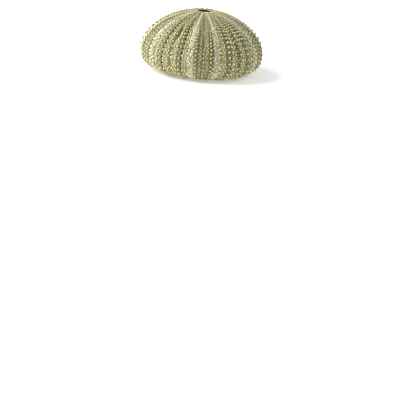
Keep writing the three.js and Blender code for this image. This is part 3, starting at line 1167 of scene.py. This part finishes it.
def calcite_plates():
    """Dry calcite, grown as a fine sponge: matt, mottled green, and a little rough to the eye."""
    material, shader = new_material("calcite_plates", PLATE_ROUGHNESS)
    place = add_node(material, "ShaderNodeTexCoord").outputs["Object"]
    mottle = add_node(
        material, "ShaderNodeTexNoise", Vector=place, Scale=1 / (MOTTLE_SIZE * MM), Detail=MOTTLE_DETAIL
    ).outputs["Fac"]
    net = add_node(
        material, "ShaderNodeTexVoronoi", {"feature": "F1"}, Vector=place, Scale=1 / (NET_SIZE * MM)
    ).outputs["Distance"]
    in_net_pit = add_node(
        material, "ShaderNodeMapRange",
        i0=net, i1=NET_PIT_EDGES[0], i2=NET_PIT_EDGES[1], i3=NET_PIT_SHARE, i4=0.0,
    ).outputs[0]
    layers = [(mottle, LIGHTER_GREEN)]
    for part, colour_of_part in PART_COLOURS:
        share = add_node(material, "ShaderNodeAttribute", {"attribute_name": part}).outputs["Fac"]
        layers.append((share, colour_of_part))
    layers.append((in_net_pit, NET_PIT_GREEN))
    colour = linear(DARKER_GREEN)
    for share, over in layers:
        colour = add_node(
            material, "ShaderNodeMix", {"data_type": "RGBA"}, i0=share, i6=colour, i7=linear(over)
        ).outputs[2]
    material.node_tree.links.new(colour, shader.inputs["Base Color"])
    # Painted glow: the inside emits a faint green, standing in for the light that comes in through the top
    # hole.
    inside = add_node(material, "ShaderNodeAttribute", {"attribute_name": "inside"}).outputs["Fac"]
    painted_glow = add_node(
        material, "ShaderNodeMath", {"operation": "MULTIPLY"}, i0=inside, i1=INSIDE_PAINTED_GLOW
    ).outputs[0]
    shader.inputs["Emission Color"].default_value = linear(PAINTED_GLOW_GREEN)
    material.node_tree.links.new(painted_glow, shader.inputs["Emission Strength"])
    bump = add_node(
        material, "ShaderNodeBump", Strength=NET_DENT_STRENGTH, Distance=NET_DENT * MM, Height=net
    ).outputs["Normal"]
    material.node_tree.links.new(bump, shader.inputs["Normal"])
    return material


# %% [markdown]
# Beads, grains and pore rings share one finish in different colours. Each goes from a green foot to a
# pale tip, partly their own colour and partly painted highlight, and large and medium beads have a
# warmer tip low on the flank. Then every copy is made a little lighter or darker by its own tint,
# which also carries the painted side shade and painted highlight of some beads.

# %% Calcite beads
BEAD_ROUGHNESS = 0.62
BEAD_SPECULAR = 0.3
DARKEST_TINT, LIGHTEST_TINT = 0.85, 1.12


def calcite_beads(name, foot, tip, low_tip=None):
    """Calcite that spines rubbed smooth: a little less rough than the plates, and paler towards the tip,
    partly as painted highlight.
    """
    material, shader = new_material(name, BEAD_ROUGHNESS)
    shader.inputs["Specular IOR Level"].default_value = BEAD_SPECULAR
    rise = add_node(material, "ShaderNodeAttribute", {"attribute_name": "tip"}).outputs["Fac"]
    tint = add_node(material, "ShaderNodeAttribute", {"attribute_name": "tint"}).outputs["Fac"]
    layers = [(rise, tip)]
    if low_tip:
        low = add_node(material, "ShaderNodeAttribute", {"attribute_name": "low"}).outputs["Fac"]
        low_rise = add_node(material, "ShaderNodeMath", {"operation": "MULTIPLY"}, i0=low, i1=rise).outputs[0]
        layers.append((low_rise, low_tip))
    colour = linear(foot)
    for share, over in layers:
        colour = add_node(
            material, "ShaderNodeMix", {"data_type": "RGBA"}, i0=share, i6=colour, i7=linear(over)
        ).outputs[2]
    shade = add_node(
        material, "ShaderNodeMapRange", {"clamp": False}, i0=tint, i3=DARKEST_TINT, i4=LIGHTEST_TINT
    ).outputs[0]
    toned = add_node(
        material, "ShaderNodeVectorMath", {"operation": "SCALE"}, i0=colour, Scale=shade
    ).outputs[0]
    material.node_tree.links.new(toned, shader.inputs["Base Color"])
    return material


# %% Put the finishes on
def finish_piece(piece, material):
    piece.data.materials.clear()
    piece.data.materials.append(material)
    piece.data.shade_smooth()
    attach(piece, "root")
    print(piece.name, "is finished in", material.name)


finish_piece(wall, calcite_plates())
# Each pale tip colour is partly painted highlight.
finish_piece(LARGE, calcite_beads("large_bead_calcite", "#6F6B38", "#D6D0AA", "#DAC396"))
finish_piece(MEDIUM, calcite_beads("medium_bead_calcite", "#85814C", "#D0CFAA", "#DBCDA4"))
finish_piece(GRAINS, calcite_beads("grain_calcite", "#807C48", "#D2CFA6"))
# The pore's dark foot colour is painted shade in its hollow, and its pale rim a painted highlight.
finish_piece(PORES, calcite_beads("pore_calcite", "#4E4A1C", "#E9E7CA"))
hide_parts("shell")
for master in (LARGE_BEAD, MEDIUM_BEAD, GRAIN, PORE):
    bpy.data.objects.remove(master)

# %% [markdown]
# ## Floor and light
#
# The shell lies on a plain white floor that runs far back. A large soft light from the left gives the
# beads their dark sides, a weaker one comes from the right, and the white surroundings fill the rest.

# %% Lay the floor
FLOOR_WIDTH_M = 8.0
FLOOR_ROUGHNESS = 0.9
FLOOR_GLOW = 0.3


def lay_floor():
    """Matt white paper, which glows a little so that it stays white in the shade."""
    deselect_all()
    bpy.ops.mesh.primitive_plane_add(size=FLOOR_WIDTH_M, location=(0, 0, 0))
    floor = bpy.context.object
    floor.name = "floor"
    material, shader = new_material("white_floor", FLOOR_ROUGHNESS)
    shader.inputs["Base Color"].default_value = linear("#F7F7F6")
    shader.inputs["Emission Color"].default_value = linear("#FFFFFF")
    shader.inputs["Emission Strength"].default_value = FLOOR_GLOW
    floor.data.materials.append(material)
    floor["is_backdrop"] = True


lay_floor()

# %% Light the scene
SURROUNDINGS_STRENGTH = 0.42
PIXEL_FILTER_WIDTH = 1.0


def add_light(name, turn, elevation, distance, size, watts):
    """A square soft light that looks at the shell. Turn is degrees to the right of the front."""
    turn, rise = math.radians(turn), math.radians(elevation)
    way = Vector((math.sin(turn) * math.cos(rise), -math.cos(turn) * math.cos(rise), math.sin(rise)))
    bpy.ops.object.light_add(type="AREA", location=way * distance)
    light = bpy.context.object
    light.name = name
    light.rotation_euler = way.to_track_quat("Z", "Y").to_euler()
    light.data.shape = "SQUARE"
    light.data.size = size
    light.data.energy = watts
    print(name, "at", [round(v, 2) for v in light.location])


add_light("key_left", turn=-88, elevation=40, distance=1.0, size=0.8, watts=16.3)
add_light("fill_right", turn=100, elevation=35, distance=1.2, size=0.7, watts=3.8)
world = bpy.data.worlds.new("white_surroundings")
bpy.context.scene.world = world
world.use_nodes = True
world.node_tree.nodes["Background"].inputs["Color"].default_value = (1, 1, 1, 1)
world.node_tree.nodes["Background"].inputs["Strength"].default_value = SURROUNDINGS_STRENGTH
bpy.context.scene.view_settings.view_transform = "Standard"
bpy.context.scene.cycles.filter_width = PIXEL_FILTER_WIDTH

# %% Work out the sizes and print them
sizes = {"cad": [list(v) for v in cad_box], "visual": [list(v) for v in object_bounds()]}
print("sizes in mm:", {k: [[round(n / MM, 2) for n in v] for v in box] for k, box in sizes.items()})
